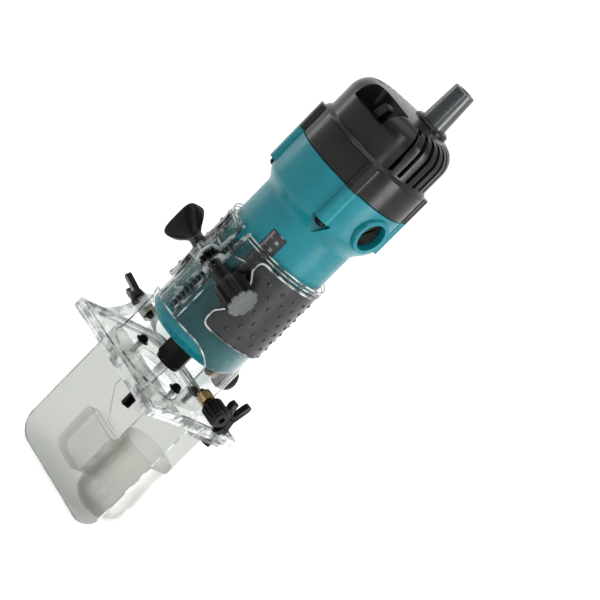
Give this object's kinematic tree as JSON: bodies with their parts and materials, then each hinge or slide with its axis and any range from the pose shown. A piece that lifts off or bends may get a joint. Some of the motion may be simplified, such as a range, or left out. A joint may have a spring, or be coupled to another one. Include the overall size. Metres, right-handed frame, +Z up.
{
  "type": "trim router",
  "caption": "Hand-held trim router: cylindrical motor sliding in a clear sleeve base with rack depth adjustment, guide screws and a clear chip guard below the sole.",
  "frame": {"origin": "where the spindle axis meets the plane of the sole, at the work edge that the tool rides on", "axes": "+Z up the spindle to the motor and cord guard, -Y the front with the clamp slit and rack, +X the side with the fluted depth knob"},
  "size_m": [0.1145, 0.0991, 0.3215],
  "materials": {
    "clear_plastic": "clear moulded polycarbonate, glossy",
    "teal_plastic": "satin moulded",
    "black_plastic": "satin moulded",
    "black_rubber": "soft dimpled rubber",
    "grey_plastic": "satin",
    "scale_print": "printed label",
    "steel": "ground",
    "dark_steel": "black oxide",
    "brass": "turned",
    "copper": "enamelled copper",
    "carbon": "pressed carbon"
  },
  "bodies": {
    "base": {"base_shell": "clear_plastic", "base_protector": "clear_plastic", "protector_screw_1": "dark_steel", "protector_screw_2": "dark_steel", "protector_screw_3": "dark_steel", "protector_screw_4": "dark_steel", "brass_insert_left": "brass", "brass_insert_right": "brass", "brass_insert_rear": "brass", "base_grip_left": "black_rubber", "base_grip_right": "black_rubber", "chip_guard_plate": "clear_plastic", "guard_nut": "dark_steel", "dust_cup": "clear_plastic", "chip_chute": "clear_plastic", "guide_stud": "dark_steel"},
    "motor": {"motor_housing": "teal_plastic", "depth_scale": "scale_print", "rack": "dark_steel", "rear_cover": "black_plastic", "cord_guard": "black_rubber", "cover_screw_1": "dark_steel", "cover_screw_2": "dark_steel", "cover_screw_3": "dark_steel", "cover_screw_4": "dark_steel", "switch_body": "black_plastic", "brush_holder_left": "brass", "brush_holder_right": "brass", "carbon_brush_left": "carbon", "carbon_brush_right": "carbon", "brush_spring_left": "steel", "brush_spring_right": "steel", "field_core": "steel", "field_coil_front": "copper", "field_coil_rear": "copper", "end_bracket": "black_plastic", "bearing_sleeve": "black_rubber", "upper_bearing": "steel", "lower_bearing": "steel", "bearing_retainer": "steel"},
    "spindle": {"armature_shaft": "steel", "armature_core": "steel", "armature_windings": "copper", "commutator": "copper", "fan": "black_plastic", "collet_cone": "steel", "router_bit": "steel"},
    "nut": {"collet_nut": "dark_steel"},
    "toggle": {"switch_lever": "black_plastic"},
    "left_cap": {"brush_cap_left": "black_plastic"},
    "right_cap": {"brush_cap_right": "black_plastic"},
    "adjuster": {"pinion": "dark_steel", "adjusting_knob": "black_plastic", "adjusting_knob_cap": "grey_plastic"},
    "clamp": {"clamp_knob": "black_plastic", "clamp_screw": "steel"},
    "left_screw": {"left_wing_screw": "black_plastic"},
    "right_screw": {"right_thumb_screw": "black_plastic"},
    "rear_screw": {"rear_thumb_knob": "black_plastic"},
    "guard_bolt": {"guard_wing_bolt": "black_plastic"}
  },
  "joints": [
    {"name": "motor_slide", "type": "slide", "parent": "base", "child": "motor", "axis": [0, 0, 1], "range_m": [-0.012, 0.028]},
    {"name": "spindle_spin", "type": "hinge", "parent": "motor", "child": "spindle", "pos_m": [0, 0, 0.031], "axis": [0, 0, 1], "continuous": true},
    {"name": "collet_nut_turn", "type": "hinge", "parent": "spindle", "child": "nut", "pos_m": [0, 0, 0.02], "axis": [0, 0, 1], "range_deg": [-360, 0]},
    {"name": "switch_toggle", "type": "hinge", "parent": "motor", "child": "toggle", "pos_m": [0.0005, -0.024, 0.188], "axis": [0, 1, 0], "range_deg": [-24, 0]},
    {"name": "left_cap_turn", "type": "hinge", "parent": "motor", "child": "left_cap", "pos_m": [-0.037, 0, 0.1475], "axis": [-1, 0, 0], "range_deg": [0, 360]},
    {"name": "right_cap_turn", "type": "hinge", "parent": "motor", "child": "right_cap", "pos_m": [0.037, 0, 0.1475], "axis": [1, 0, 0], "range_deg": [0, 360]},
    {"name": "adjusting_knob_turn", "type": "hinge", "parent": "base", "child": "adjuster", "pos_m": [0, -0.037, 0.079], "axis": [1, 0, 0], "range_deg": [-145, 330]},
    {"name": "clamp_knob_turn", "type": "hinge", "parent": "base", "child": "clamp", "pos_m": [0, -0.037, 0.079], "axis": [1, 0, 0], "range_deg": [-180, 0]},
    {"name": "left_wing_turn", "type": "hinge", "parent": "base", "child": "left_screw", "pos_m": [-0.04, 0, 0.0195], "axis": [-1, 0, 0], "range_deg": [0, 360]},
    {"name": "right_thumb_turn", "type": "hinge", "parent": "base", "child": "right_screw", "pos_m": [0.04, 0, 0.0195], "axis": [1, 0, 0], "range_deg": [0, 360]},
    {"name": "rear_knob_turn", "type": "hinge", "parent": "base", "child": "rear_screw", "pos_m": [0, 0.038, 0.0195], "axis": [0, 1, 0], "range_deg": [0, 360]},
    {"name": "guard_bolt_turn", "type": "hinge", "parent": "base", "child": "guard_bolt", "pos_m": [0.0373, 0.0276, 0.0056], "axis": [0, 0, 1], "range_deg": [0, 360]}
  ],
  "couplings": [
    {"joint": "adjusting_knob_turn", "follows": "motor_slide", "rad_per_m": 200}
  ]
}
